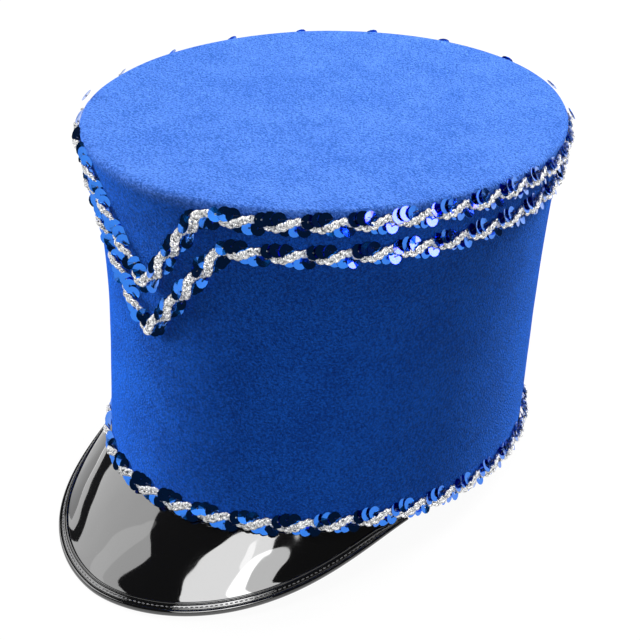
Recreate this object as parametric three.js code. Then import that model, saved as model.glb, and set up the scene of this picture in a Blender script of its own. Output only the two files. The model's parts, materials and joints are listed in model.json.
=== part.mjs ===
// Shako hat: a felt crown with a flat top and a curved patent peak, trimmed with three rows of
// sequins under a silver braid. Millimetres, +Z up, front toward -Y. Each piece is shaped in the
// hat's own frame, with the crown's rim in the plane z = 0 and its axis up; the finished hat is
// then tipped back until it stands on the back of its rim and the front of its peak.
import * as THREE from 'three';

// Crown: an oval felt shell, straight below and flaring out toward its flat top.
const rimHalfWidth = 86;
const rimHalfLength = 104;
const topHalfWidth = 94.8;
const topHalfLength = 112.5;
const crownHeight = 153.7;
const topForward = 5.9;
const flarePower = 3.3;
const feltWall = 2.6;
const topEdgeRadius = 6;
const crownSides = 64;

// Peak: a curved patent sheet that slopes down at the front and stands almost upright at its ends.
const peakDepth = 47;
const peakHalfAngle = THREE.MathUtils.degToRad(78.4);
const peakFrontSlope = THREE.MathUtils.degToRad(43.5);
const peakEndSlope = THREE.MathUtils.degToRad(81.4);
const peakOutlinePower = 1.72;
const peakTaperPower = 1.49;
const peakReach = 0.92;
const peakSheet = 2;
const peakBulge = 1.5;
const peakDrop = 0.45;
const peakSteps = 32;

// Binding: a strip folded over the peak's free edge.
const bindingWidth = 5.8;
const bindingSheet = 0.8;
const bindingGap = 0.4;
const bindingNose = bindingSheet + bindingGap + peakSheet / 2;

// Trim rows: a braid winds up and down, and sequins overlap in each of its bays, above and below.
const wavePitch = 17;
const sequinWidth = 6;
const sequinsPerWave = 6;
const sequinSwing = 2.7;
const sequinSwell = 1.6;
const scallopDepth = 0.7;
const trimGap = 0.35;
const braidGap = 0.3;
const braidWidth = 2.2;
const braidHeight = 1.2;
const braidSwing = 2.4;
const braidStepsPerWave = 6;
const veeSharpness = 2.4;
const veeShoulder = 2.2;

// Heights of the rows' centre lines, how far round from the front each one's braid has a crest,
// the vees that the two upper rows make at the front, and how low a row may reach.
const upperRow = {
  centre: crownHeight - 5.2,
  firstCrest: 3.3,
  vee: { depth: 42, left: 36, right: 30 },
  lowest: () => 0,
};
const lowerRow = {
  centre: crownHeight - 20,
  firstCrest: 6.6,
  vee: { depth: 48.5, left: 39, right: 37 },
  lowest: () => 0,
};
const baseRow = {
  centre: 4.2,
  firstCrest: 2.2,
  vee: null,
  lowest: (angle) => 0.4 - 0.6 * Math.cos(angle),
};

const up = new THREE.Vector3(0, 0, 1);
const fullTurn = 2 * Math.PI;

const felt = new THREE.MeshStandardMaterial({ color: 0x0a3fb8, roughness: 0.95, metalness: 0 });
const patent = new THREE.MeshStandardMaterial({ color: 0x070708, roughness: 0.08, metalness: 0 });
const sequinFoil = new THREE.MeshStandardMaterial({ color: 0x0b2f9e, roughness: 0.15, metalness: 0.9 });
const silverCord = new THREE.MeshStandardMaterial({ color: 0xc9cbd2, roughness: 0.35, metalness: 0.8 });

// The crown's outer oval at a height: half width, half length and the shift of its centre.
function ovalAt(z) {
  const flare = THREE.MathUtils.clamp(z / crownHeight, 0, 1) ** flarePower;
  return {
    rx: THREE.MathUtils.lerp(rimHalfWidth, topHalfWidth, flare),
    ry: THREE.MathUtils.lerp(rimHalfLength, topHalfLength, flare),
    shift: -topForward * flare,
  };
}

// A point beside the crown's outer face; angle 0 is the front and grows toward +X.
function besideCrown(angle, z, offset) {
  const { rx, ry, shift } = ovalAt(z);
  return new THREE.Vector3(
    (rx + offset) * Math.sin(angle),
    shift - (ry + offset) * Math.cos(angle),
    z,
  );
}

// Moves every corner of a geometry to where place puts it.
function reshape(geometry, place) {
  const corners = geometry.getAttribute('position');
  const corner = new THREE.Vector3();
  for (let i = 0; i < corners.count; i += 1) {
    corner.fromBufferAttribute(corners, i);
    const moved = place(corner);
    corners.setXYZ(i, moved.x, moved.y, moved.z);
  }
  geometry.computeVertexNormals();
  return geometry;
}

// The angle round a lathed ring, from 0 to a full turn.
function turnOf(corner) {
  return THREE.MathUtils.euclideanModulo(Math.atan2(corner.x, corner.z), fullTurn);
}

// The wall's section from the axis under the top, down inside, round the rim and up outside.
function crownProfile() {
  const outerLevels = [0, 40, 70, 95, 115, 131, 141, crownHeight - topEdgeRadius];
  const innerLevels = [0, 45, 80, 108, 130, crownHeight - topEdgeRadius];
  const edgeCentre = ovalAt(crownHeight - topEdgeRadius).ry - topEdgeRadius;
  const innerEdge = topEdgeRadius - feltWall;
  const roundPoint = (radius, degrees) => {
    const lift = THREE.MathUtils.degToRad(degrees);
    return new THREE.Vector2(
      edgeCentre + radius * Math.cos(lift),
      crownHeight - topEdgeRadius + radius * Math.sin(lift),
    );
  };
  return [
    new THREE.Vector2(0, crownHeight - feltWall),
    roundPoint(innerEdge, 90),
    roundPoint(innerEdge, 45),
    ...innerLevels.reverse().map((z) => new THREE.Vector2(ovalAt(z).ry - feltWall, z)),
    ...outerLevels.map((z) => new THREE.Vector2(ovalAt(z).ry, z)),
    roundPoint(topEdgeRadius, 30),
    roundPoint(topEdgeRadius, 60),
    roundPoint(topEdgeRadius, 90),
    new THREE.Vector2(0, crownHeight),
  ];
}

function crownGeometry() {
  const lathed = new THREE.LatheGeometry(crownProfile(), crownSides);
  return reshape(lathed, (corner) => {
    const radius = Math.hypot(corner.x, corner.z);
    if (radius < 1) {
      return new THREE.Vector3(0, -topForward, corner.y);
    }
    return besideCrown(turnOf(corner), corner.y, radius - ovalAt(corner.y).ry);
  });
}

// The peak's frame at a place along it, from -1 at one end to 1 at the other: where it leaves the
// crown, which way it slopes, which way its top faces, and how far it reaches.
function peakFrame(along) {
  const angle = along * peakHalfAngle;
  const slope = THREE.MathUtils.lerp(peakFrontSlope, peakEndSlope, along * along);
  const outward = new THREE.Vector3(
    Math.sin(angle) / rimHalfWidth,
    -Math.cos(angle) / rimHalfLength,
    0,
  ).normalize();
  const downhill = outward.clone().multiplyScalar(Math.cos(slope)).addScaledVector(up, -Math.sin(slope));
  const facing = outward.clone().multiplyScalar(Math.sin(slope)).addScaledVector(up, Math.cos(slope));
  const root = besideCrown(angle, 0, 0).addScaledVector(up, -peakDrop);
  const reach = peakDepth * (1 - Math.abs(along) ** peakOutlinePower) ** peakTaperPower;
  return { root, outward, downhill, facing, reach };
}

function peakEdge(along) {
  const { root, downhill, reach } = peakFrame(along);
  return root.addScaledVector(downhill, reach);
}

// The peak's outer edge with the direction that runs in from it, square to the edge.
function edgeFrame(along) {
  const step = 0.005;
  const tangent = peakEdge(along + step).sub(peakEdge(along - step)).normalize();
  const { downhill, facing, reach } = peakFrame(along);
  const inward = new THREE.Vector3().crossVectors(facing, tangent).normalize();
  if (inward.dot(downhill) > 0) {
    inward.negate();
  }
  return { edge: peakEdge(along), inward, facing, squareness: -inward.dot(downhill), reach };
}

// The sheet runs from a narrow ledge under the crown's rim out to its edge inside the binding,
// arching a little between the two.
function peakGeometry() {
  const rows = 6;
  const sheet = new THREE.BoxGeometry(2 * peakReach, 1, 1, peakSteps, rows, 1);
  return reshape(sheet, (corner) => {
    const { root, outward, downhill, facing, reach } = peakFrame(corner.x);
    const { squareness } = edgeFrame(corner.x);
    const row = Math.round((0.5 - corner.y) * rows);
    const depth = corner.z > 0 ? 0 : -peakSheet;
    if (row === 0) {
      return root.addScaledVector(outward, -feltWall).addScaledVector(up, depth * facing.z);
    }
    const edge = reach - bindingNose / squareness;
    const arch = Math.max(edge - (bindingWidth - bindingNose + 0.5) / squareness, edge / 2);
    const out = row === rows ? edge : (arch * (row - 1)) / (rows - 2);
    const bulge = peakBulge * (reach / peakDepth) ** 2 * Math.sin(Math.PI * Math.min(out / arch, 1));
    return root.addScaledVector(downhill, out).addScaledVector(facing, bulge + depth);
  });
}

// The binding's section, folded from its upper lip round the edge to its lower lip: how far in
// from the outer edge its inner face lies, how far above the sheet's middle, and how it is turned.
const foldTurns = [90, 90, 45, 0, -45, -90, -90].map(THREE.MathUtils.degToRad);

function bindingSection(fold, lip) {
  const bend = peakSheet / 2 + bindingGap;
  const turn = foldTurns[fold];
  const isLip = fold === 0 || fold === foldTurns.length - 1;
  return { inFrom: isLip ? lip : bindingNose - bend * Math.cos(turn), above: bend * Math.sin(turn), turn };
}

function bindingPoint(along, fold, skin) {
  const { edge, inward, facing, squareness, reach } = edgeFrame(along);
  const lip = Math.min(bindingWidth, 0.85 * reach * squareness);
  const { inFrom, above, turn } = bindingSection(fold, lip);
  return edge
    .addScaledVector(inward, inFrom - skin * Math.cos(turn))
    .addScaledVector(facing, above + skin * Math.sin(turn) - peakSheet / 2);
}

function bindingGeometry() {
  const folds = foldTurns.length - 1;
  const strip = new THREE.BoxGeometry(2 * peakReach, 1, 1, peakSteps, folds, 1);
  return reshape(strip, (corner) => {
    const fold = Math.round((0.5 - corner.y) * folds);
    return bindingPoint(corner.x, fold, corner.z > 0 ? bindingSheet : 0);
  });
}

// How far a row's vee hangs below the row at a distance round from the front.
function veeDrop(vee, distance) {
  const halfWidth = distance < 0 ? vee.left : vee.right;
  const blunted = Math.hypot(distance, veeSharpness) - veeSharpness;
  const straight = vee.depth * (1 - blunted / halfWidth);
  return (straight + Math.hypot(straight, veeShoulder)) / 2;
}

// A row's centre line, from the front once round the crown in many small steps: the angle, the
// distance round, the height, and the length walked along the line.
function traceRow(row) {
  const steps = 3600;
  const trace = [{ angle: 0, round: 0 }];
  for (let i = 1; i <= steps; i += 1) {
    const angle = (fullTurn * i) / steps;
    const spot = besideCrown(angle, row.centre, 0);
    const stride = spot.distanceTo(besideCrown(trace[i - 1].angle, row.centre, 0));
    trace.push({ angle, round: trace[i - 1].round + stride });
  }
  const whole = trace[steps].round;
  trace.forEach((mark, i) => {
    const fromFront = mark.round > whole / 2 ? mark.round - whole : mark.round;
    mark.height = row.centre - (row.vee ? veeDrop(row.vee, fromFront) : 0);
    const last = trace[Math.max(i - 1, 0)];
    mark.length = (last.length ?? 0) + Math.hypot(mark.round - last.round, mark.height - last.height);
  });
  return trace;
}

// Evenly spaced stations along a row, each with its angle, height and slant.
function rowStations(trace, count) {
  const total = trace[trace.length - 1].length;
  const stations = [];
  let i = 1;
  for (let s = 0; s < count; s += 1) {
    const goal = (total * s) / count;
    while (trace[i].length < goal) {
      i += 1;
    }
    const [a, b] = [trace[i - 1], trace[i]];
    const share = (goal - a.length) / (b.length - a.length);
    stations.push({
      angle: THREE.MathUtils.lerp(a.angle, b.angle, share),
      height: THREE.MathUtils.lerp(a.height, b.height, share),
      slant: (b.length - a.length) / (b.round - a.round),
    });
  }
  return stations;
}

// A closed ring along a row, with a three-sided section whose ridge faces out. shape tells the
// section at a place in the braid's wave: the height of its middle above the row's centre line,
// half its height, and how far out its foot and its ridge stand.
function rowRing(row, stepsPerWave, shape) {
  const trace = traceRow(row);
  const waves = Math.round(trace[trace.length - 1].length / wavePitch);
  const count = waves * stepsPerWave;
  const stations = rowStations(trace, count);
  const hub = 10;
  const foot = 0;
  const ridge = 1;
  const section = [[foot, -1], [ridge, 0], [foot, 1], [foot, -1]];
  const profile = section.map(([out, rise]) => new THREE.Vector2(hub + out, rise));
  return reshape(new THREE.LatheGeometry(profile, count), (corner) => {
    const index = Math.round((turnOf(corner) / fullTurn) * count) % count;
    const { angle, height, slant } = stations[index];
    const wave = fullTurn * (index / stepsPerWave - row.firstCrest / wavePitch);
    const { middle, half, footOut, ridgeOut } = shape(wave, index);
    const isRidge = Math.hypot(corner.x, corner.z) > hub + ridge / 2;
    const rise = middle + Math.round(corner.y) * half;
    const z = Math.max(height + rise * slant, row.lowest(angle) + (isRidge ? half / 2 : 0));
    return besideCrown(angle, z, isRidge ? ridgeOut : footOut);
  });
}

// Sequins: scalloped at both edges, high where the braid is low and low where it is high.
function sequinGeometry(row) {
  return rowRing(row, sequinsPerWave * 2, (wave, index) => ({
    middle: -sequinSwing * Math.cos(wave),
    half: sequinWidth / 2 - (index % 2 === 0 ? scallopDepth : 0),
    footOut: trimGap,
    ridgeOut: trimGap + sequinSwell,
  }));
}

// Braid: one cord that winds up and down over the sequins.
function braidGeometry(row) {
  const footOut = trimGap + sequinSwell + braidGap;
  return rowRing(row, braidStepsPerWave, (wave) => ({
    middle: braidSwing * Math.cos(wave),
    half: braidWidth / 2,
    footOut,
    ridgeOut: footOut + braidHeight,
  }));
}

function piece(name, geometry, material) {
  const mesh = new THREE.Mesh(geometry, material);
  mesh.name = name;
  return mesh;
}

const hat = new THREE.Group();
hat.add(piece('crown', crownGeometry(), felt));
hat.add(piece('peak', peakGeometry(), patent));
hat.add(piece('peak_binding', bindingGeometry(), patent));
for (const [name, row] of Object.entries({ upper: upperRow, lower: lowerRow, base: baseRow })) {
  hat.add(piece(`${name}_sequins`, sequinGeometry(row), sequinFoil));
  hat.add(piece(`${name}_braid`, braidGeometry(row), silverCord));
}

// The hat tips back until the back of the rim and the underside of the peak's front are level.
function restingTilt() {
  const front = bindingPoint(0, 4, bindingSheet);
  const back = besideCrown(Math.PI, 0, 0);
  return Math.atan2(back.z - front.z, back.y - front.y);
}

// It stands on the ground at the middle of the space that it takes up.
hat.rotation.x = -restingTilt();
hat.updateMatrixWorld(true);
const space = new THREE.Box3().setFromObject(hat, true);
hat.position.set(
  -(space.min.x + space.max.x) / 2,
  -(space.min.y + space.max.y) / 2,
  -space.min.z,
);

const shako = new THREE.Group();
shako.add(hat);

export default shako;
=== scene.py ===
import json
import math
import random
from bisect import bisect_left

import bmesh
import bpy
from mathutils import Matrix, Vector, noise


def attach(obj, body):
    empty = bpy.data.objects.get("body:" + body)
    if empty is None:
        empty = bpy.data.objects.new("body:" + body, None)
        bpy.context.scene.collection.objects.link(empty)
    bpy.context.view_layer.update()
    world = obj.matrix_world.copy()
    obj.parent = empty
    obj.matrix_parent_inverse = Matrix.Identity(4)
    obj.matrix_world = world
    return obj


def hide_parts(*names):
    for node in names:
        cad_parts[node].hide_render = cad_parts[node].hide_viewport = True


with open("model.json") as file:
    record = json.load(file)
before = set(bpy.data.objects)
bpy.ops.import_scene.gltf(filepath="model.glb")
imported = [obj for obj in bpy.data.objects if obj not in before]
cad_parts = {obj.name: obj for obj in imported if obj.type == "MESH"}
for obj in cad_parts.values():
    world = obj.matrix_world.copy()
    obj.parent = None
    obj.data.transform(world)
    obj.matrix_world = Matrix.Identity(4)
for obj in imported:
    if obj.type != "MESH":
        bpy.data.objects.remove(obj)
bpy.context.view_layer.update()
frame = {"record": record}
print("frame loaded")

# The hat is shaped in millimetres in its own frame: rim in the plane z = 0, axis up, front toward -Y.
# The mount on its flat top says how far the whole hat is tipped back where it rests.
topMount = next(m for m in frame["record"]["mounts"] if m["name"] == "crown_top")
topMountOnHat = Vector((8.0, 4.1, 153.7))
restTilt = math.atan2(topMount["axis"][1], topMount["axis"][2])
hatToRow = (Matrix.Translation(topMount["pos_m"]) @ Matrix.Rotation(-restTilt, 4, "X")
            @ Matrix.Scale(0.001, 4) @ Matrix.Translation(-topMountOnHat))
up = Vector((0, 0, 1))
fullTurn = 2 * math.pi


def lerp(a, b, share):
    return a + (b - a) * share


def clamp(value):
    return max(0.0, min(1.0, value))


def newMaterial(name, settings):
    material = bpy.data.materials.new(name)
    material.use_nodes = True
    shader = material.node_tree.nodes["Principled BSDF"]
    for socket, value in settings.items():
        shader.inputs[socket].default_value = value
    return material, material.node_tree, shader


def addNode(tree, kind, settings=None, inputs=None):
    node = tree.nodes.new(kind)
    for key, value in (settings or {}).items():
        setattr(node, key, value)
    for key, value in (inputs or {}).items():
        if isinstance(value, bpy.types.NodeSocket):
            tree.links.new(value, node.inputs[key])
        else:
            node.inputs[key].default_value = value
    return node


def newGroup(name, inputs, outputs):
    group = bpy.data.node_groups.new(name, "ShaderNodeTree")
    for socketName, (kind, value) in inputs.items():
        socket = group.interface.new_socket(socketName, in_out="INPUT", socket_type=kind)
        if value is not None:
            socket.default_value = value
    for socketName, kind in outputs.items():
        group.interface.new_socket(socketName, in_out="OUTPUT", socket_type=kind)
    return group, group.nodes.new("NodeGroupInput").outputs, group.nodes.new("NodeGroupOutput").inputs


def useGroup(tree, group, inputs):
    return addNode(tree, "ShaderNodeGroup", {"node_tree": group}, inputs)


def mathNode(tree, operation, a, b=None, c=None, clampIt=False):
    given = {slot: value for slot, value in enumerate((a, b, c)) if value is not None}
    return addNode(tree, "ShaderNodeMath", {"operation": operation, "use_clamp": clampIt}, given).outputs[0]


def mixColour(tree, share, a, b):
    return addNode(tree, "ShaderNodeMix", {"data_type": "RGBA"}, {"Factor": share, 6: a, 7: b}).outputs[2]


# Mottling: soft cloudy patches and fine grain, each about 0 to 1, at sizes in metres.
def buildMottle():
    group, given, out = newGroup(
        "mottle",
        {"Vector": ("NodeSocketVector", None), "Patch Size": ("NodeSocketFloat", 0.02),
         "Grain Size": ("NodeSocketFloat", 0.0006)},
        {"Patches": "NodeSocketFloat", "Grain": "NodeSocketFloat"})
    for name, size, detail in (("Patches", "Patch Size", 3.0), ("Grain", "Grain Size", 4.0)):
        scale = mathNode(group, "DIVIDE", 1.0, given[size])
        cloud = addNode(group, "ShaderNodeTexNoise", {},
                        {"Vector": given["Vector"], "Scale": scale, "Detail": detail, "Roughness": 0.6})
        group.links.new(cloud.outputs["Fac"], out[name])
    return group


mottle = buildMottle()

# Colours are linear, sizes are in metres, and scales are in noise cells for each metre.
feltLook = {
    "deep": (0.010, 0.084, 0.54, 1), "light": (0.020, 0.188, 1.0, 1),
    # The top colours are painted light: the flat top is coloured paler than the wall to stand in for the
    # light falling on it.
    "paintedLightTopDeep": (0.028, 0.125, 0.60, 1), "paintedLightTopPale": (0.130, 0.310, 0.98, 1), "paintedLightTopFade": 0.007,
    "roughness": 0.95, "specular": 0.1,
    "sheen": 0.22, "sheenRoughness": 0.3, "sheenTint": (0.3, 0.6, 1.0, 1),
    "patch": 0.022, "fibre": 0.0010, "strandScale": 800.0, "strandRise": 1.2,
    "pullScale": 260.0, "pull": 0.0012, "grainContrast": 4.0, "patchContrast": 0.9, "toneShift": -1.95,
    "bump": 0.9, "fuzz": 0.0009,
}


def makeFelt():
    look = feltLook
    material, tree, shader = newMaterial("blueFelt", {
        "Roughness": look["roughness"], "Specular IOR Level": look["specular"],
        "Sheen Weight": look["sheen"], "Sheen Roughness": look["sheenRoughness"],
        "Sheen Tint": look["sheenTint"],
    })
    where = addNode(tree, "ShaderNodeTexCoord").outputs["Object"]
    warp = addNode(tree, "ShaderNodeTexNoise", {},
                   {"Vector": where, "Scale": look["pullScale"], "Detail": 2.0})
    pulled = addNode(tree, "ShaderNodeVectorMath", {"operation": "MULTIPLY_ADD"},
                     {0: warp.outputs["Color"], 1: (look["pull"],) * 3, 2: where}).outputs[0]
    wool = useGroup(tree, mottle, {"Vector": pulled, "Patch Size": look["patch"],
                                   "Grain Size": look["fibre"]})
    strands = addNode(tree, "ShaderNodeTexVoronoi", {"feature": "DISTANCE_TO_EDGE"},
                      {"Vector": pulled, "Scale": look["strandScale"], "Randomness": 1.0})
    strandHeight = mathNode(tree, "MULTIPLY", strands.outputs["Distance"], look["strandRise"])
    nap = mathNode(tree, "ADD", wool.outputs["Grain"], strandHeight)
    clouds = mathNode(tree, "MULTIPLY_ADD",
                      wool.outputs["Patches"], look["patchContrast"], look["toneShift"])
    tone = mathNode(tree, "MULTIPLY_ADD",
                    wool.outputs["Grain"], look["grainContrast"], clouds, clampIt=True)
    # The flat top is painted paler than the wall down to its edge: painted light, standing in for the
    # stronger light that falls on the top.
    rise = addNode(tree, "ShaderNodeVectorMath", {"operation": "DOT_PRODUCT"},
                   {0: where, 1: tuple(topMount["axis"])}).outputs["Value"]
    flatTop = Vector(topMount["pos_m"]).dot(Vector(topMount["axis"]))
    paintedLightTopMask = addNode(tree, "ShaderNodeMapRange", {"interpolation_type": "SMOOTHSTEP"},
                    {"Value": rise, "From Min": flatTop - look["paintedLightTopFade"], "From Max": flatTop}).outputs[0]
    wall = mixColour(tree, tone, look["deep"], look["light"])
    top = mixColour(tree, tone, look["paintedLightTopDeep"], look["paintedLightTopPale"])
    tree.links.new(mixColour(tree, paintedLightTopMask, wall, top), shader.inputs["Base Color"])
    bump = addNode(tree, "ShaderNodeBump", {},
                   {"Strength": look["bump"], "Distance": look["fuzz"], "Height": nap})
    tree.links.new(bump.outputs["Normal"], shader.inputs["Normal"])
    return material


patentLook = {
    "black": (0.004, 0.004, 0.0045, 1), "ior": 1.9, "polish": 0.02, "wear": 0.05,
    "patch": 0.016, "grain": 0.0012, "waveScale": 85.0, "bump": 0.5, "waveDepth": 0.0005,
}


def makePatent():
    look = patentLook
    material, tree, shader = newMaterial("blackPatent", {"Base Color": look["black"], "IOR": look["ior"]})
    where = addNode(tree, "ShaderNodeTexCoord").outputs["Object"]
    wear = useGroup(tree, mottle, {"Vector": where, "Patch Size": look["patch"],
                                   "Grain Size": look["grain"]})
    rough = mathNode(tree, "MULTIPLY_ADD", wear.outputs["Patches"], look["wear"], look["polish"])
    tree.links.new(rough, shader.inputs["Roughness"])
    # Without finer detail the waves bend reflections smoothly, as a moulded sheet does.
    wave = addNode(tree, "ShaderNodeTexNoise", {},
                   {"Vector": where, "Scale": look["waveScale"], "Detail": 0.0})
    bump = addNode(tree, "ShaderNodeBump", {},
                   {"Strength": look["bump"], "Distance": look["waveDepth"], "Height": wave.outputs["Fac"]})
    tree.links.new(bump.outputs["Normal"], shader.inputs["Normal"])
    return material


foilLook = {
    "deep": (0.0, 0.15, 0.70, 1), "light": (0.0, 0.22, 0.92, 1),
    "coat": 0.5, "coatRoughness": 0.05, "coatIor": 1.8, "polish": 0.04, "wear": 0.12,
    "patch": 0.005, "grain": 0.0008, "bump": 0.15, "dents": 0.0002,
}


def makeSequinFoil():
    look = foilLook
    material, tree, shader = newMaterial("blueSequin", {
        "Metallic": 1.0, "Coat Weight": look["coat"], "Coat Roughness": look["coatRoughness"],
        "Coat IOR": look["coatIor"],
    })
    where = addNode(tree, "ShaderNodeTexCoord").outputs["Object"]
    film = useGroup(tree, mottle, {"Vector": where, "Patch Size": look["patch"],
                                   "Grain Size": look["grain"]})
    tree.links.new(mixColour(tree, film.outputs["Patches"], look["deep"], look["light"]),
                   shader.inputs["Base Color"])
    tree.links.new(mathNode(tree, "MULTIPLY_ADD", film.outputs["Grain"], look["wear"], look["polish"]),
                   shader.inputs["Roughness"])
    bump = addNode(tree, "ShaderNodeBump", {},
                   {"Strength": look["bump"], "Distance": look["dents"], "Height": film.outputs["Patches"]})
    tree.links.new(bump.outputs["Normal"], shader.inputs["Normal"])
    return material


silverLook = {
    "dark": (0.06, 0.07, 0.10, 1), "bright": (1.0, 1.0, 1.0, 1), "metallic": 0.6, "ior": 1.6,
    "turns": 900.0, "slant": 2.0, "patch": 0.0012, "grain": 0.0004, "ridgeContrast": 0.5,
    "patchContrast": 7.0, "toneShift": -2.6, "polish": 0.22, "wear": 0.25,
    "patchRise": 2.5, "bump": 0.9, "ridges": 0.0003,
}


# Silver thread, twisted: the fine filaments slant across the piece's own UV map.
def makeSilver():
    look = silverLook
    material, tree, shader = newMaterial("silverBraid", {"Metallic": look["metallic"], "IOR": look["ior"]})
    spot = addNode(tree, "ShaderNodeTexCoord")
    along = addNode(tree, "ShaderNodeSeparateXYZ", {}, {0: spot.outputs["UV"]})
    slanted = mathNode(tree, "MULTIPLY_ADD", along.outputs["X"], look["turns"],
                       mathNode(tree, "MULTIPLY", along.outputs["Y"], look["slant"]))
    ridge = mathNode(tree, "SINE", mathNode(tree, "MULTIPLY", slanted, fullTurn))
    metal = useGroup(tree, mottle, {"Vector": spot.outputs["Object"], "Patch Size": look["patch"],
                                    "Grain Size": look["grain"]})
    ridged = mathNode(tree, "MULTIPLY_ADD", ridge, 0.5, 0.5)  # from -1 to 1 onto 0 to 1
    specks = mathNode(tree, "MULTIPLY_ADD",
                      metal.outputs["Patches"], look["patchContrast"], look["toneShift"])
    bright = mathNode(tree, "MULTIPLY_ADD", ridged, look["ridgeContrast"], specks, clampIt=True)
    tree.links.new(mixColour(tree, bright, look["dark"], look["bright"]), shader.inputs["Base Color"])
    tree.links.new(mathNode(tree, "MULTIPLY_ADD", metal.outputs["Grain"], look["wear"], look["polish"]),
                   shader.inputs["Roughness"])
    relief = mathNode(tree, "MULTIPLY_ADD", metal.outputs["Patches"], look["patchRise"], ridged)
    bump = addNode(tree, "ShaderNodeBump", {},
                   {"Strength": look["bump"], "Distance": look["ridges"], "Height": relief})
    tree.links.new(bump.outputs["Normal"], shader.inputs["Normal"])
    return material


threadLook = {
    "navyThread": ((0.001, 0.003, 0.02, 1), (0.004, 0.012, 0.07, 1)),
    "blackThread": ((0.05, 0.05, 0.052, 1), (0.34, 0.34, 0.35, 1)),
    "roughness": 0.55, "sheen": 0.2, "patch": 0.002, "grain": 0.0003, "bump": 0.4, "plies": 0.0001,
}


def makeThread(name):
    look = threadLook
    dark, light = look[name]
    material, tree, shader = newMaterial(name, {
        "Roughness": look["roughness"], "Sheen Weight": look["sheen"],
    })
    where = addNode(tree, "ShaderNodeTexCoord").outputs["Object"]
    ply = useGroup(tree, mottle, {"Vector": where, "Patch Size": look["patch"],
                                  "Grain Size": look["grain"]})
    tree.links.new(mixColour(tree, ply.outputs["Grain"], dark, light), shader.inputs["Base Color"])
    bump = addNode(tree, "ShaderNodeBump", {},
                   {"Strength": look["bump"], "Distance": look["plies"], "Height": ply.outputs["Grain"]})
    tree.links.new(bump.outputs["Normal"], shader.inputs["Normal"])
    return material


felt = makeFelt()
patent = makePatent()
sequinFoil = makeSequinFoil()
silver = makeSilver()
navyThread = makeThread("navyThread")
blackThread = makeThread("blackThread")
print("materials made")

# Shiny pieces reflect cards of their own in the studio.
shineGroups = {name: bpy.data.collections.new(name + "Shine")
               for name in ("patent", "foil", "highFoil", "braid")}


def finishPiece(bm, name, material, replaced=(), shine=(), smooth=True):
    bmesh.ops.transform(bm, matrix=hatToRow, verts=bm.verts)
    for face in bm.faces:
        face.smooth = smooth
    mesh = bpy.data.meshes.new(name)
    bm.to_mesh(mesh)
    bm.free()
    piece = bpy.data.objects.new(name, mesh)
    bpy.context.scene.collection.objects.link(piece)
    for group in shine:
        shineGroups[group].objects.link(piece)
    mesh.materials.append(material)
    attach(piece, "root")
    if replaced:
        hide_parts(*replaced)


# A grid whose corners are put in place by their step numbers along and across.
def placedGrid(bm, alongSteps, acrossSteps, place):
    made = bmesh.ops.create_grid(bm, x_segments=alongSteps, y_segments=acrossSteps, size=1, calc_uvs=True)
    for vert in made["verts"]:
        along = round((vert.co.x + 1) / 2 * alongSteps)
        across = round((vert.co.y + 1) / 2 * acrossSteps)
        vert.co = place(along, across)


crown = {
    "rimHalfWidth": 86, "rimHalfLength": 104, "topHalfWidth": 94.8, "topHalfLength": 112.5,
    "height": 153.7, "topForward": 5.9, "flarePower": 3.3, "wall": 2.6, "edgeRadius": 4.2,
    "lip": 1.2, "lipHeight": 7, "steps": 240, "rowSpacing": 2.4, "topRings": 10, "cornerSteps": 8,
    "unevenness": 0.25, "topUnevenness": 0.6, "trueRim": 12,
    "swayScale": 0.018, "rippleScale": 0.06, "rippleShare": 0.35,
}


def ovalAt(z):
    flare = clamp(z / crown["height"]) ** crown["flarePower"]
    return (lerp(crown["rimHalfWidth"], crown["topHalfWidth"], flare),
            lerp(crown["rimHalfLength"], crown["topHalfLength"], flare),
            -crown["topForward"] * flare)


# A point beside the crown's outer face; angle 0 is the front and grows toward +X.
def besideCrown(angle, z, offset):
    rx, ry, shift = ovalAt(z)
    return Vector(((rx + offset) * math.sin(angle), shift - (ry + offset) * math.cos(angle), z))


def crownNormal(angle, z):
    turn, step = 0.002, 0.5
    level = besideCrown(angle + turn, z, 0) - besideCrown(angle - turn, z, 0)
    rise = besideCrown(angle, z + step, 0) - besideCrown(angle, z - step, 0)
    return level.cross(rise).normalized()


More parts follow.
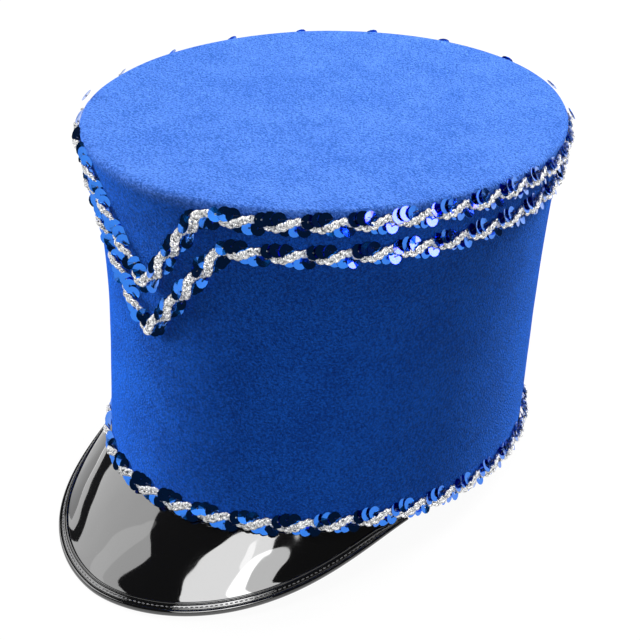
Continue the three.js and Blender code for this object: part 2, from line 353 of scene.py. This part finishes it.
# The wall's section, spun at a radius of 100 and then stretched to the oval.
def makeCrown():
    top, wall, radius, hub = crown["height"], crown["wall"], crown["edgeRadius"], 100.0
    shoulder = top - radius
    rows = round((shoulder - wall / 2) / crown["rowSpacing"])
    rings, corner, innerCorner = crown["topRings"], crown["cornerSteps"], 5
    section = [(i / rings * (hub - radius), top) for i in range(rings)]
    for i in range(corner + 1):
        turn = math.pi / 2 * (1 - i / corner)
        section.append((hub - radius + radius * math.cos(turn), shoulder + radius * math.sin(turn)))
    section += [(hub, lerp(shoulder, wall / 2, i / rows)) for i in range(1, rows)]
    for i in range(corner + 1):
        turn = -math.pi * i / corner
        section.append((hub - wall / 2 + wall / 2 * math.cos(turn), wall / 2 + wall / 2 * math.sin(turn)))
    section += [(hub - wall, lerp(wall / 2, shoulder, i / (rows // 2))) for i in range(1, rows // 2)]
    inner = radius - wall
    for i in range(innerCorner + 1):
        turn = math.pi / 2 * i / innerCorner
        section.append((hub - radius + inner * math.cos(turn), shoulder + inner * math.sin(turn)))
    section += [(share * (hub - radius), top - wall) for share in (0.8, 0.6, 0.4, 0.2, 0)]

    bm = bmesh.new()
    verts = [bm.verts.new((0, -r, z)) for r, z in section]
    edges = [bm.edges.new(pair) for pair in zip(verts, verts[1:])]
    bmesh.ops.spin(bm, geom=verts + edges, cent=(0, 0, 0), axis=(0, 0, 1), angle=fullTurn,
                   steps=crown["steps"], use_merge=True)
    bmesh.ops.remove_doubles(bm, verts=bm.verts, dist=0.001)
    flatReach = 60.0  # inside this radius the top shrinks evenly to its middle
    wallFrom = hub - 8  # beyond this radius the unevenness also pushes outward
    for vert in bm.verts:
        x, y, z = vert.co
        fromAxis = math.hypot(x, y)
        angle = math.atan2(x, -y)
        rx, ry, shift = ovalAt(z)
        lip = crown["lip"] * clamp((z - top) / crown["lipHeight"] + 1) ** 2
        offset = max(fromAxis, flatReach) - hub + lip
        inShare = min(fromAxis / flatReach, 1)
        place = Vector(((rx + offset) * inShare * math.sin(angle),
                        shift - (ry + offset) * inShare * math.cos(angle), z))
        ripple = crown["rippleShare"] * noise.noise(place * crown["rippleScale"])
        sway = noise.noise(place * crown["swayScale"]) + ripple
        push = crown["unevenness"] * sway * clamp(z / crown["trueRim"])
        outward = Vector((math.sin(angle), -math.cos(angle), 0)) * inShare
        vert.co = place + (outward * push if fromAxis > wallFrom else Vector())
        vert.co += up * push * (crown["topUnevenness"] if z > shoulder else 0)
    bmesh.ops.recalc_face_normals(bm, faces=bm.faces)
    finishPiece(bm, "feltCrown", felt, ["crown"])


makeCrown()
print("crown made")

peak = {
    "depth": 47, "halfAngle": math.radians(78.4), "frontSlope": math.radians(43.5),
    "endSlope": math.radians(81.4), "outlinePower": 1.72, "taperPower": 1.49, "reach": 0.92,
    "sheet": 2.0, "bulge": 1.5, "drop": 0.45, "steps": 150, "rows": 26,
    "waviness": 0.10, "wavinessScale": 0.045, "wavinessFrom": 8, "archGap": 0.5,
}
binding = {
    "width": 5.8, "nose": 2.2, "taperShare": 0.85, "noseEnd": 1.5, "noseBlend": 4, "steps": 200,
    "stitchSpacing": 2.1, "stitchLength": 1.55, "stitchWidth": 0.62, "stitchIn": 3.5, "stitchAbove": 1.62,
    "stitchTurn": 0.12, "stitchPlay": (0.9, 1.1), "stitchTrace": 2000, "seed": 11,
}


def peakFrame(along):
    angle = along * peak["halfAngle"]
    slope = lerp(peak["frontSlope"], peak["endSlope"], along * along)
    outward = Vector((math.sin(angle) / crown["rimHalfWidth"],
                      -math.cos(angle) / crown["rimHalfLength"], 0)).normalized()
    downhill = outward * math.cos(slope) - up * math.sin(slope)
    facing = outward * math.sin(slope) + up * math.cos(slope)
    root = besideCrown(angle, 0, 0) - up * peak["drop"]
    reach = peak["depth"] * (1 - abs(along) ** peak["outlinePower"]) ** peak["taperPower"]
    return root, outward, downhill, facing, reach


def peakEdge(along):
    root, _, downhill, _, reach = peakFrame(along)
    return root + downhill * reach


# The peak's outer edge with the direction that runs in from it, square to the edge.
def edgeFrame(along):
    step = 0.005
    tangent = (peakEdge(along + step) - peakEdge(along - step)).normalized()
    _, _, downhill, facing, reach = peakFrame(along)
    inward = facing.cross(tangent).normalized()
    if inward.dot(downhill) > 0:
        inward.negate()
    return peakEdge(along), inward, facing, -inward.dot(downhill), reach


# Places along the peak, closer together toward its ends, where it tapers.
def peakPlace(step, steps):
    return peak["reach"] * math.sin((step / steps - 0.5) * math.pi)


def makePeak():
    bm = bmesh.new()
    rows, sheet = peak["rows"], peak["sheet"]

    def place(step, row):
        along = peakPlace(step, peak["steps"])
        root, outward, downhill, facing, reach = peakFrame(along)
        squareness = edgeFrame(along)[3]
        if row == 0:
            return root - outward * crown["wall"]
        edge = reach - binding["nose"] / squareness
        underBinding = binding["width"] - binding["nose"] + peak["archGap"]
        arch = max(edge - underBinding / squareness, edge / 2)
        out = edge * ((row - 1) / (rows - 1))
        swell = peak["bulge"] * (reach / peak["depth"]) ** 2 * math.sin(math.pi * min(out / arch, 1))
        spot = root + downhill * out
        wave = peak["waviness"] * noise.noise(spot * peak["wavinessScale"])
        return spot + facing * (swell + wave * min(out / peak["wavinessFrom"], 1))

    placedGrid(bm, peak["steps"], rows, place)
    bmesh.ops.recalc_face_normals(bm, faces=bm.faces)
    if sum(face.normal.z for face in bm.faces) < 0:
        bmesh.ops.reverse_faces(bm, faces=bm.faces)
    bmesh.ops.solidify(bm, geom=bm.faces[:], thickness=sheet)
    finishPiece(bm, "patentPeak", patent, ["peak"], ["patent"])


# The binding's section: how far in from the outer edge, and how far above the sheet's middle.
bindingSection = [
    (5.72, 1.06), (5.82, 1.30), (5.74, 1.58), (5.48, 1.74), (5.16, 1.68), (4.96, 1.46), (4.84, 1.34),
    (4.72, 1.44), (4.55, 1.60), (4.2, 1.70), (3.8, 1.66), (3.5, 1.58), (3.2, 1.60), (2.9, 1.66),
    (2.66, 1.60), (2.52, 1.46), (2.42, 1.50), (2.26, 1.80), (1.9, 2.08), (1.4, 2.12), (0.95, 1.90),
    (0.50, 1.42), (0.18, 0.85), (0.0, 0.2), (0.06, -0.5), (0.30, -1.1), (0.75, -1.66), (1.4, -2.05),
    (2.2, -2.16), (3.2, -2.1), (4.6, -2.02), (5.6, -1.95), (5.8, -1.7), (5.75, -1.35), (5.6, -1.4),
    (2.3, -1.4), (1.35, -1.0), (0.82, 0.0), (1.35, 1.0), (2.3, 1.25), (5.6, 1.06),
]


def makeBinding():
    bm = bmesh.new()
    count = len(bindingSection)

    def place(step, corner):
        along = peakPlace(step, binding["steps"])
        edge, inward, facing, squareness, reach = edgeFrame(along)
        # Where the peak tapers, the lips shorten and the rolled nose keeps its shape.
        lip = min(binding["width"], binding["taperShare"] * reach * squareness)
        inFrom, above = bindingSection[corner % count]
        taper = clamp((inFrom - binding["noseEnd"]) / binding["noseBlend"])
        inFrom *= lerp(1, lip / binding["width"], taper)
        return edge + inward * inFrom + facing * (above - peak["sheet"] / 2)

    placedGrid(bm, binding["steps"], count, place)
    bmesh.ops.remove_doubles(bm, verts=bm.verts, dist=0.001)
    bmesh.ops.holes_fill(bm, edges=[e for e in bm.edges if e.is_boundary], sides=0)
    bmesh.ops.recalc_face_normals(bm, faces=bm.faces)
    finishPiece(bm, "peakBinding", patent, ["peak_binding"], ["patent"])


# Small stitches lie in the binding's groove, one after another round the edge.
def makeBindingStitches():
    bm = bmesh.new()
    chances = random.Random(binding["seed"])
    places, walked, last = [], 0.0, None
    for i in range(binding["stitchTrace"] + 1):
        edge, inward, facing, _, _ = edgeFrame(peakPlace(i, binding["stitchTrace"]))
        spot = edge + inward * binding["stitchIn"] + facing * (binding["stitchAbove"] - peak["sheet"] / 2)
        walked += (spot - last).length if last else 0
        if last and walked >= binding["stitchSpacing"]:
            walked -= binding["stitchSpacing"]
            places.append((spot, (spot - last).normalized(), facing))
        last = spot
    for spot, tangent, facing in places:
        made = bmesh.ops.create_uvsphere(bm, u_segments=6, v_segments=4, radius=0.5)
        side = facing.cross(tangent).normalized()
        turn = Matrix.Rotation(chances.uniform(-binding["stitchTurn"], binding["stitchTurn"]), 3, facing)
        axes = Matrix((turn @ tangent, turn @ side, facing)).transposed().to_4x4()
        size = Matrix.Diagonal((binding["stitchLength"] * chances.uniform(*binding["stitchPlay"]),
                                binding["stitchWidth"], binding["stitchWidth"], 1))
        bmesh.ops.transform(bm, matrix=Matrix.Translation(spot) @ axes @ size, verts=made["verts"])
    finishPiece(bm, "bindingStitches", blackThread, shine=["patent"])


makePeak()
makeBinding()
makeBindingStitches()
print("peak made")

# Lengths are in millimetres, leans, tilts and nods in degrees, and the spin and the dip in radians.
# The drop's places run from 0 at the front to 1 at the back, and the strays' from 0 to 1 all the way round.
trim = {
    "pitch": 17.0, "gap": 0.35, "veeSharpness": 2.4, "veeShoulder": 2.2, "traceSteps": 2400,
    "dropFrom": (0.20, 0.50), "dropOver": 0.2,
    "sequinRadius": 2.95, "sequinHole": 0.4, "sequinSides": 12, "sequinCup": 0.12, "sequinFoil": 0.12,
    "sequinSwing": 2.6, "sequinSpacing": 3.3, "sequinLift": 1.25, "sequinLean": 16, "sequinTilt": 8,
    "sequinSpin": 0.5,
    "slotReach": (0.72, 1.0, 0.92), "upperNod": -26, "lowerNod": -6,
    "alongPlay": 0.3, "acrossPlay": 0.2, "liftPlay": (-0.08, 0.12), "straySpan": (0.36, 0.86),
    "threadSize": (2.5, 0.26, 0.2), "threadAt": (1.3, 0, 0.24), "threadDip": -0.1,
    "braidSwing": 1.5, "braidOut": 2.0, "braidDive": 1.15, "plaitLength": 8.5, "plaitSteps": 20,
    "strandWide": 0.84, "strandThick": 0.50, "plaitWide": 1.24, "plaitThick": 0.44,
    "strandSides": 6,
}
# A vee has a depth and half widths to its left and right. Lowest is the height that a row stays
# above, and how much lower it is in front and higher behind.
trimRows = {
    "upper": {"centre": crown["height"] - 5.2, "firstCrest": 3.3, "vee": (42, 36, 30), "lowest": None,
              "backDrop": 3.1, "strays": 3.8, "nod": -13, "seed": 3, "shine": ["foil", "highFoil"]},
    "lower": {"centre": crown["height"] - 20, "firstCrest": 6.6, "vee": (48.5, 39, 37), "lowest": None,
              "backDrop": 0, "strays": 0, "nod": -9, "seed": 5, "shine": ["foil", "highFoil"]},
    "base": {"centre": 4.2, "firstCrest": 2.2, "vee": None, "lowest": (2.4, 0.6),
             "backDrop": 0, "strays": 0, "nod": 0, "seed": 8, "shine": ["foil"]},
}


def veeDrop(vee, distance):
    depth, left, right = vee
    halfWidth = left if distance < 0 else right
    blunted = math.hypot(distance, trim["veeSharpness"]) - trim["veeSharpness"]
    straight = depth * (1 - blunted / halfWidth)
    return (straight + math.hypot(straight, trim["veeShoulder"])) / 2


# A row's centre line once round the crown: angle, height and length walked along it.
class RowPath:
    def __init__(self, row):
        steps = trim["traceSteps"]
        self.row = row
        self.angles = [fullTurn * i / steps for i in range(steps + 1)]
        spots = [besideCrown(angle, row["centre"], 0) for angle in self.angles]
        self.around = [0.0]
        for a, b in zip(spots, spots[1:]):
            self.around.append(self.around[-1] + (b - a).length)
        self.whole = self.around[-1]
        heights = [self.heightAt(distance) for distance in self.around]
        self.lengths = [0.0]
        for i in range(steps):
            stride = math.hypot(self.around[i + 1] - self.around[i], heights[i + 1] - heights[i])
            self.lengths.append(self.lengths[-1] + stride)
        self.total = self.lengths[-1]
        self.waves = round(self.total / trim["pitch"])
        self.pitch = self.total / self.waves

    def heightAt(self, distance):
        fromFront = (distance + self.whole / 2) % self.whole - self.whole / 2
        dropFrom = trim["dropFrom"][fromFront > 0]
        behind = clamp((abs(fromFront) / self.whole * 2 - dropFrom) / trim["dropOver"])
        drop = self.row["backDrop"] * behind * behind * (3 - 2 * behind)
        return self.row["centre"] - drop - (veeDrop(self.row["vee"], fromFront) if self.row["vee"] else 0)

    def between(self, keys, values, goal):
        i = min(max(bisect_left(keys, goal), 1), len(keys) - 1)
        return lerp(values[i - 1], values[i], (goal - keys[i - 1]) / (keys[i] - keys[i - 1]))

    # A place at a length along the row and a rise across it, standing out from the felt,
    # with the directions along, across and out.
    def place(self, length, rise, out):
        distance = self.between(self.lengths, self.around, length % self.total)
        step = 1.6
        slope = (self.heightAt(distance + step) - self.heightAt(distance - step)) / (2 * step)
        run = 1 / math.hypot(1, slope)
        height = self.heightAt(distance) + rise * run
        angle = self.between(self.around, self.angles, (distance - rise * slope * run) % self.whole)
        if self.row["lowest"]:
            low, sway = self.row["lowest"]
            height = max(height, low - sway * math.cos(angle))
        outward = crownNormal(angle, height)
        rx, ry, _ = ovalAt(height)
        level = Vector((math.cos(angle) * rx, math.sin(angle) * ry, 0)).normalized()
        rising = outward.cross(level).normalized()
        along = (level * run + rising * slope * run).normalized()
        across = outward.cross(along).normalized()
        return besideCrown(angle, height, 0) + outward * out, along, across, outward


# One sequin: a shallow cup of foil with a hole in the middle.
def makeSequin():
    bm = bmesh.new()
    ring = bmesh.ops.create_circle(bm, segments=trim["sequinSides"], radius=trim["sequinHole"])["verts"]
    edges = list({edge for vert in ring for edge in vert.link_edges})
    grown = bmesh.ops.extrude_edge_only(bm, edges=edges)["geom"]
    rim = [item for item in grown if isinstance(item, bmesh.types.BMVert)]
    faces = [item for item in grown if isinstance(item, bmesh.types.BMFace)]
    bmesh.ops.scale(bm, vec=Vector((1, 1, 1)) * (trim["sequinRadius"] / trim["sequinHole"]), verts=rim)
    bmesh.ops.translate(bm, vec=(0, 0, trim["sequinCup"]), verts=rim)
    back = bmesh.ops.extrude_face_region(bm, geom=faces)["geom"]
    backVerts = [item for item in back if isinstance(item, bmesh.types.BMVert)]
    bmesh.ops.translate(bm, vec=(0, 0, -trim["sequinFoil"]), verts=backVerts)
    bmesh.ops.recalc_face_normals(bm, faces=bm.faces)
    sequin = bpy.data.meshes.new("sequin")
    bm.to_mesh(sequin)
    bm.free()
    return sequin


def makeSequins(name, row, path):
    bm = bmesh.new()
    threads = bmesh.new()
    chances = random.Random(row["seed"])
    sequin = makeSequin()
    strayFrom, strayTo = trim["straySpan"]
    for wave in range(path.waves):
        for bay in (0, 1):
            middle = (wave + bay / 2) * path.pitch + row["firstCrest"]
            rise = trim["sequinSwing"] * (1 if bay else -1)
            for slot in (-1, 0, 1):
                length = middle + slot * trim["sequinSpacing"]
                length += chances.uniform(-trim["alongPlay"], trim["alongPlay"])
                reach = rise * trim["slotReach"][slot + 1]
                reach += chances.uniform(-trim["acrossPlay"], trim["acrossPlay"])
                # A few sequins behind stand up past the edge of the flat top.
                if bay and slot == 0 and wave % 2 and strayFrom < wave / path.waves < strayTo:
                    reach += row["strays"]
                lift = trim["sequinLift"] + chances.uniform(*trim["liftPlay"])
                spot, along, across, outward = path.place(length, reach, trim["gap"] + lift)
                lean = math.radians(trim["sequinLean"] + chances.uniform(-1, 1) * trim["sequinTilt"])
                usual = trim["upperNod"] if bay or slot == 1 else trim["lowerNod"]
                nod = math.radians(usual + row["nod"] + chances.uniform(-1, 1) * trim["sequinTilt"])
                axes = Matrix((along, across, outward)).transposed().to_4x4()
                turn = Matrix.Rotation(lean, 4, "Y") @ Matrix.Rotation(nod, 4, "X")
                start = len(bm.verts)
                bm.from_mesh(sequin)
                bm.verts.ensure_lookup_table()
                spin = Matrix.Rotation(chances.uniform(0, trim["sequinSpin"]), 4, "Z")
                bmesh.ops.transform(bm, matrix=Matrix.Translation(spot) @ axes @ turn @ spin,
                                    verts=bm.verts[start:])
                made = bmesh.ops.create_cube(threads, size=1)["verts"]
                dip = Matrix.Rotation(trim["threadDip"], 4, "Y")
                size = dip @ Matrix.Diagonal((*trim["threadSize"], 1))
                laid = axes @ turn @ Matrix.Translation(trim["threadAt"]) @ size
                bmesh.ops.transform(threads, matrix=Matrix.Translation(spot) @ laid, verts=made)
    bpy.data.meshes.remove(sequin)
    finishPiece(bm, f"{name}Sequins", sequinFoil, [f"{name}_sequins"], row["shine"], smooth=False)
    finishPiece(threads, f"{name}SequinThread", navyThread)


def makeBraid(name, row, path):
    bm = bmesh.new()
    bm.loops.layers.uv.new("UVMap")
    plaits = round(path.total / trim["plaitLength"])
    steps, sides = plaits * trim["plaitSteps"], trim["strandSides"]
    stations = []
    for i in range(steps):
        length = path.total * i / steps
        wave = fullTurn * (length - row["firstCrest"]) / path.pitch
        out = trim["braidOut"] - trim["braidDive"] * math.sin(wave)
        spot, along, across, outward = path.place(length, trim["braidSwing"] * math.cos(wave), out)
        stations.append((spot, across, outward))
    for strand in range(3):
        middles = []
        for i, (spot, _, outward) in enumerate(stations):
            before, after = stations[i - 1][0], stations[(i + 1) % steps][0]
            heading = (after - before).normalized()
            side = outward.cross(heading).normalized()
            phase = fullTurn * (i / trim["plaitSteps"] + strand / 3)
            middles.append((spot + side * trim["plaitWide"] * math.sin(phase)
                            + outward * trim["plaitThick"] * math.sin(2 * phase), outward))

        def place(step, corner):
            spot, outward = middles[step % steps]
            heading = (middles[(step + 1) % steps][0] - middles[(step - 1) % steps][0]).normalized()
            side = outward.cross(heading).normalized()
            top = heading.cross(side).normalized()
            turn = fullTurn * corner / sides
            spot = spot + side * trim["strandWide"] * math.cos(turn)
            return spot + top * trim["strandThick"] * math.sin(turn)

        placedGrid(bm, steps, sides, place)
    bmesh.ops.remove_doubles(bm, verts=bm.verts, dist=0.0005)
    bmesh.ops.recalc_face_normals(bm, faces=bm.faces)
    finishPiece(bm, f"{name}Braid", silver, [f"{name}_braid"], ["braid"])


for rowName, row in trimRows.items():
    path = RowPath(row)
    makeSequins(rowName, row, path)
    makeBraid(rowName, row, path)
    print(rowName, "row made:", path.waves, "waves")

studio = {"floorSize": 8.0, "floorShade": (0.06, 0.06, 0.06, 1), "floorGlow": 0.95, "world": 0.03}


# The camera and the shiny pieces see a bright floor, but it throws no light of its own on the felt.
def makeFloor():
    bm = bmesh.new()
    bmesh.ops.create_grid(bm, x_segments=1, y_segments=1, size=studio["floorSize"] / 2)
    mesh = bpy.data.meshes.new("floor")
    bm.to_mesh(mesh)
    bm.free()
    floor = bpy.data.objects.new("floor", mesh)
    bpy.context.scene.collection.objects.link(floor)
    material, tree, shader = newMaterial("paleFloor", {
        "Base Color": studio["floorShade"], "Roughness": 1.0, "Specular IOR Level": 0.0,
    })
    mesh.materials.append(material)
    ray = addNode(tree, "ShaderNodeLightPath")
    glow = addNode(tree, "ShaderNodeEmission", {}, {"Color": (1, 1, 1, 1), "Strength": studio["floorGlow"]})
    both = addNode(tree, "ShaderNodeAddShader", {}, {0: shader.outputs[0], 1: glow.outputs[0]})
    bright = mathNode(tree, "MAXIMUM", ray.outputs["Is Camera Ray"], ray.outputs["Is Glossy Ray"])
    mix = addNode(tree, "ShaderNodeMixShader", {}, {0: bright, 1: shader.outputs[0], 2: both.outputs[0]})
    tree.links.new(mix.outputs[0], tree.nodes["Material Output"].inputs["Surface"])


# The camera sees a white world, and the hat gets only a little of its light.
def makeWorld():
    world = bpy.data.worlds.new("studio")
    bpy.context.scene.world = world
    world.use_nodes = True
    tree = world.node_tree
    backdrop = tree.nodes["Background"]
    backdrop.inputs["Color"].default_value = (1, 1, 1, 1)
    ray = addNode(tree, "ShaderNodeLightPath")
    tree.links.new(mathNode(tree, "ADD", ray.outputs["Is Camera Ray"], studio["world"]),
                   backdrop.inputs["Strength"])


# A light at an azimuth from the front and an elevation, aimed at the hat. Radiance is what a
# mirror would show; soft light for cloth and the cards that shiny pieces reflect are kept apart.
def addLight(name, azimuth, elevation, distance, size, radiance, shinesOn=None, aim=(0, 0, 0.09),
             shape="RECTANGLE", colour=(1, 1, 1)):
    lamp = bpy.data.lights.new(name, "AREA")
    lamp.shape = shape
    lamp.size, lamp.size_y = size
    area = size[0] * size[1] * (math.pi / 4 if shape == "ELLIPSE" else 1)
    lamp.energy = radiance * math.pi * area
    lamp.color = colour
    light = bpy.data.objects.new(name, lamp)
    bpy.context.scene.collection.objects.link(light)
    a, e = math.radians(azimuth), math.radians(elevation)
    back = Vector((math.sin(a) * math.cos(e), -math.cos(a) * math.cos(e), math.sin(e)))
    light.matrix_world = (Matrix.Translation(Vector(aim) + back * distance)
                          @ back.to_track_quat("Z", "Y").to_matrix().to_4x4())
    light.visible_camera = False
    light.visible_diffuse = shinesOn is None
    light.visible_glossy = shinesOn is not None
    if shinesOn:
        light.light_linking.receiver_collection = shineGroups[shinesOn]


makeFloor()
makeWorld()

# Azimuth, elevation, distance, size and radiance, then the pieces that reflect the light as a card.
peakSpot = (0.02, -0.11, 0.01)
addLight("overhead", 20, 86, 2.2, (1.2, 1.2), 5.9)
addLight("leftKey", -71, 8, 1.5, (0.9, 0.9), 16.0)
addLight("frontFill", 60, 25, 1.6, (0.9, 0.7), 3.0)
addLight("rimRight", 175, 20, 1.4, (0.5, 0.8), 25.0)
addLight("whiteCard", 33, 47, 1.6, (0.88, 1.1), 7.2, "patent", peakSpot, "ELLIPSE")
addLight("whiteStreak", 44, 54, 1.6, (0.16, 0.40), 2.4, "patent", peakSpot, "ELLIPSE")
addLight("bulbCard", 54, 40, 1.6, (0.60, 0.60), 4.8, "patent", peakSpot, "ELLIPSE")
addLight("greyCard", -64, 33, 1.5, (1.40, 1.12), 2.9, "patent", peakSpot)
addLight("greyStreak", -52, 36, 1.5, (0.30, 1.0), 0.6, "patent", peakSpot, "ELLIPSE")
addLight("lowCard", -92, 2.2, 0.6, (0.5, 0.05), 2.3, "patent", peakSpot)
addLight("foilTop", 20, 88, 1.6, (0.7, 0.7), 4.0, "foil")
addLight("foilLeft", -50, 33, 1.5, (1.0, 0.8), 1.1, "foil")
addLight("foilFront", 36, 48, 1.6, (1.0, 0.7), 1.3, "foil")
addLight("foilRight", 126, 15, 1.5, (0.8, 0.5), 13.0, "highFoil", colour=(1, 0.27, 1))
addLight("braidFront", 15, 45, 1.6, (1.4, 1.0), 6.5, "braid")
addLight("braidRight", 105, 35, 1.6, (1.4, 1.0), 6.5, "braid")


# The camera looks at the hat's middle from its front right, a little above, and is rolled slightly.
cameraView = {
    "azimuth": 41.84, "elevation": 28.39, "roll": 3.43, "target": (0, 0, 69.16), "distance": 782.58,
    "slideRight": -3.774, "slideUp": -16.99, "lens": 98.008,
}


def makeCamera():
    a, e = math.radians(cameraView["azimuth"]), math.radians(cameraView["elevation"])
    back = Vector((math.sin(a) * math.cos(e), -math.cos(a) * math.cos(e), math.sin(e)))
    right = Vector((math.cos(a), math.sin(a), 0))
    above = back.cross(right)
    roll = math.radians(cameraView["roll"])
    x = right * math.cos(roll) + above * math.sin(roll)
    y = above * math.cos(roll) - right * math.sin(roll)
    spot = (Vector(cameraView["target"]) + back * cameraView["distance"]
            + x * cameraView["slideRight"] + y * cameraView["slideUp"])
    axes = Matrix((x, y, back)).transposed()
    data = bpy.data.cameras.new("camera")
    data.lens = cameraView["lens"]
    data.sensor_width = 36
    data.clip_start, data.clip_end = 0.01, 50
    camera = bpy.data.objects.new("camera", data)
    bpy.context.scene.collection.objects.link(camera)
    turn = Matrix.Rotation(-restTilt, 3, "X") @ axes
    camera.matrix_world = Matrix.Translation(hatToRow @ spot) @ turn.to_4x4()
    bpy.context.scene.camera = camera


makeCamera()
bpy.context.scene.view_settings.view_transform = "Standard"
print("floor, lights and camera made")
